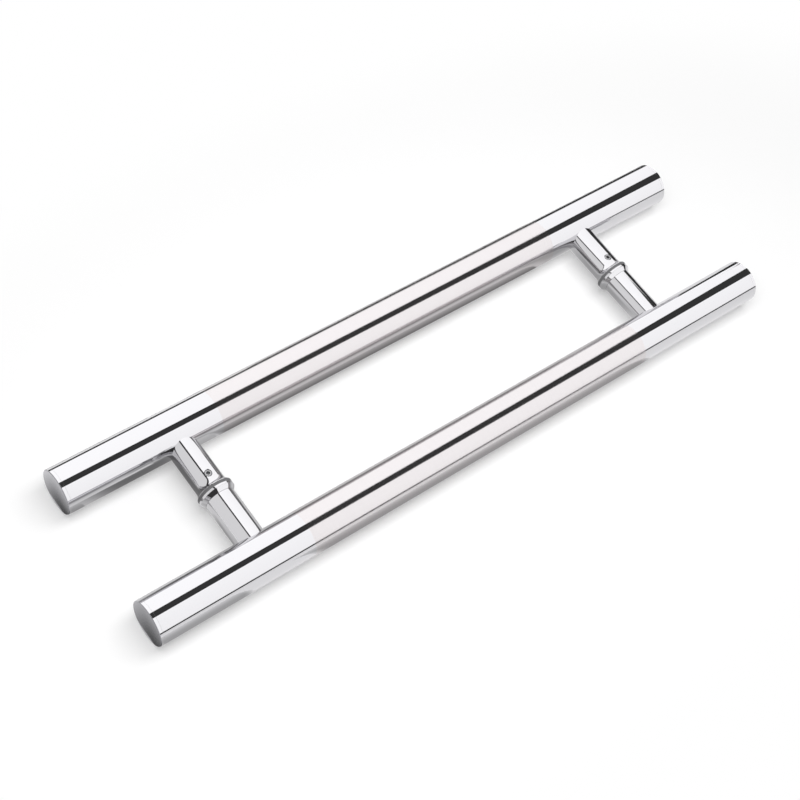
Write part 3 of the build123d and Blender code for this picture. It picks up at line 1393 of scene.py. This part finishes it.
    def cards(self) -> None:
        """The two panels, the strip between their upper edges, the dark cards, the grey sheet and the
        painted floor shadows.
        """
        low, top = cad_box[0].z, self.rail_height
        along = np.array(self.stations)
        front_rail, rear_rail = (
            line_at(along, np.interp(along, *np.transpose(rail)), top)
            for rail in (self.front_rail, self.rear_rail)
        )
        front, rear, rim = (slice(*span) for span in (self.front_span, self.rear_span, self.rim_span))
        corner = front.start
        front_foot = line_at(along, *self.front_foot)
        front_foot[corner, 0] = self.front_corner_x
        board = front_foot * (1.0, 1.0, 0.0) + (0.0, 0.0, low + self.board_lift)
        rear_foot = line_at(along, self.rear_foot_y, low + self.rear_foot_lift)
        left_top = np.array([front_rail[corner], (*self.left_card_end, top)])
        left_foot = np.array([board[corner], (*self.left_card_end, board[corner, 2])])
        dark = self.glow("dark_cloth", self.dark_radiance)
        front_glow = self.glow("front_panel", self.front_radiance, self.front_slope)
        rear_glow = self.glow("rear_panel", self.rear_radiance, self.rear_slope)
        self.sheet("dark_strip", front_rail, rear_rail, dark)
        self.sheet("front_panel", front_rail[front], front_foot[front], front_glow)
        self.sheet("front_board", front_foot[front], board[front], dark)
        self.sheet("rear_panel", rear_rail[rear], rear_foot[rear], rear_glow)
        self.sheet("rear_rim", rear_rail[rim], rear_foot[rim], dark)
        self.sheet("left_card", left_top, left_foot, dark)
        for card in self.dark_cards:
            self.wall(card, dark)
        for patch in self.patches:
            self.patch(patch)
        for layer, shade in enumerate(self.shades):
            self.shade(shade, low + self.patch_height + layer * self.layer_gap)

    def patch(self, patch: Patch) -> None:
        """A grey sheet that lies on the floor.

        Args:
            patch: its place and brightness.
        """
        grey = self.glow(patch.name, patch.radiance)
        level = cad_box[0].z + self.patch_height
        first, second = (line_at(*np.transpose(edge), level) for edge in (patch.first, patch.second))
        self.sheet(patch.name, first, second, grey)

    def shade(self, shade: Shade, level: float) -> None:
        """Painted shadow on the floor: a soft grey that only the steel mirrors.

        With d the larger of (|x| / half width)^p and (|y| / half depth)^q from the centre, the
        brightness goes smoothly from the core's at d = 0 to the rim's at d = 1.

        Args:
            shade: its place and brightness.
            level: how high it lies.
        """
        material, graph, shine = new_material(shade.name, Shader.GLOW)
        scale = (1.0 / shade.half[0], 1.0 / shade.half[1], 0.0)
        place = graph.parts(graph.coordinates(Vector((*shade.centre, 0.0)), scale))
        sides = [
            graph.math("POWER", graph.math("ABSOLUTE", place[axis]), power)
            for axis, power in zip(("X", "Y"), shade.fall)
        ]
        soft = graph.add("MapRange", interpolation_type="SMOOTHSTEP")
        graph.join(graph.math("MAXIMUM", *sides), soft, "Value")
        soft.inputs["To Min"].default_value = shade.core
        soft.inputs["To Max"].default_value = shade.rim
        graph.join(soft.outputs["Result"], shine, "Strength")
        (x, y), (across, along) = shade.centre, shade.half
        ends = (x - across, x + across * shade.right)
        first, second = (line_at(ends, edge, level) for edge in (y - along, y + along))
        self.sheet(shade.name, first, second, material)

    def wall(self, card: Card, material: Material) -> None:
        """An upright sheet from just above the floor to its top edge.

        Args:
            card: its place and height.
            material: its material.
        """
        low = cad_box[0].z
        ends = np.array([card.start, card.end])
        lower, upper = (line_at(*ends.T, low + rise) for rise in (self.card_lift, card.height))
        self.sheet(card.name, lower, upper, material)

    def build(self) -> None:
        """Makes the floor, the surroundings, the lamp and the cards."""
        self.floor()
        self.world()
        self.lamp()
        self.cards()
        log.info("studio: floor at %.4f m", cad_box[0].z)


@dataclass
class PhotoCamera:
    """The camera at the photograph's viewing angle.

    Attributes:
        azimuth: the direction from the target to the camera, in degrees from X.
        elevation: its height over the floor in degrees.
        roll: its turn about its own line of sight in degrees.
        distance: how far it is from the target.
        target: the point in X and Y on the floor that it looks at.
        focal_pixels: its focal length in pixels of the frame.
        frame_pixels: the frame's width in pixels.
        sensor: the sensor's width in millimetres.
        clip: the nearest and the farthest distance that it sees.
    """

    azimuth: float = -143.931
    elevation: float = 56.252
    roll: float = 19.942
    distance: float = 1309.44 * MM
    target: Pair = (-24.54 * MM, 0.72 * MM)
    focal_pixels: float = 1582.97
    frame_pixels: float = 800.0
    sensor: float = 36.0
    clip: Pair = (0.01, 50.0)

    def build(self) -> None:
        """Places the camera and makes it the scene's own."""
        az, el, roll = (math.radians(a) for a in (self.azimuth, self.elevation, self.roll))
        back = Vector((math.cos(el) * math.cos(az), math.cos(el) * math.sin(az), math.sin(el)))
        place = Vector((*self.target, cad_box[0].z)) + back * self.distance
        right = (-back).cross(Vector((0.0, 0.0, 1.0))).normalized()
        up = right.cross(-back)
        across = math.cos(roll) * right + math.sin(roll) * up
        above = -math.sin(roll) * right + math.cos(roll) * up
        lens = bpy.data.cameras.new("photo_camera")
        lens.sensor_width = self.sensor
        lens.lens = self.focal_pixels / self.frame_pixels * self.sensor
        lens.clip_start, lens.clip_end = self.clip
        camera = linked("photo_camera", lens)
        turn = Matrix((across, above, back)).transposed()
        camera.matrix_world = Matrix.Translation(place) @ turn.to_4x4()
        bpy.context.scene.camera = camera
        log.info("camera: %.1f mm lens at %s", lens.lens, tuple(round(c, 3) for c in place))


def dress_fasteners(steel: Material) -> None:
    """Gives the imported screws, bosses, inserts and nuts inside the posts and bars a finish.

    Args:
        steel: that finish.
    """
    for part in frame["record"]["subparts"]:
        if part["material_slot"] == "fastener_steel":
            node = frame["nodes"][part["node"]]
            node.data.materials.clear()
            node.data.materials.append(steel)
            log.info("%s: packed shape in %s", part["node"], steel.name)


def main() -> None:
    """Builds the handle's pieces, the studio and the camera."""
    logging.basicConfig(level=logging.INFO, format="%(name)s: %(message)s")
    for side in Side:
        Bar(side).build(BarFinish(), TurnedFinish())
    steel = PolishedFinish().material("post_steel")
    rubber = RubberFinish().material("gasket_rubber")
    machined = MachinedFinish()
    dark = machined.material("set_screw_steel")
    for end in End:
        Post(end).build(steel, rubber, dark)
    dress_fasteners(machined.material("fastener_steel"))
    Studio().build()
    PhotoCamera().build()
    bpy.context.scene.view_settings.view_transform = "Standard"


if __name__ == "__main__":
    main()
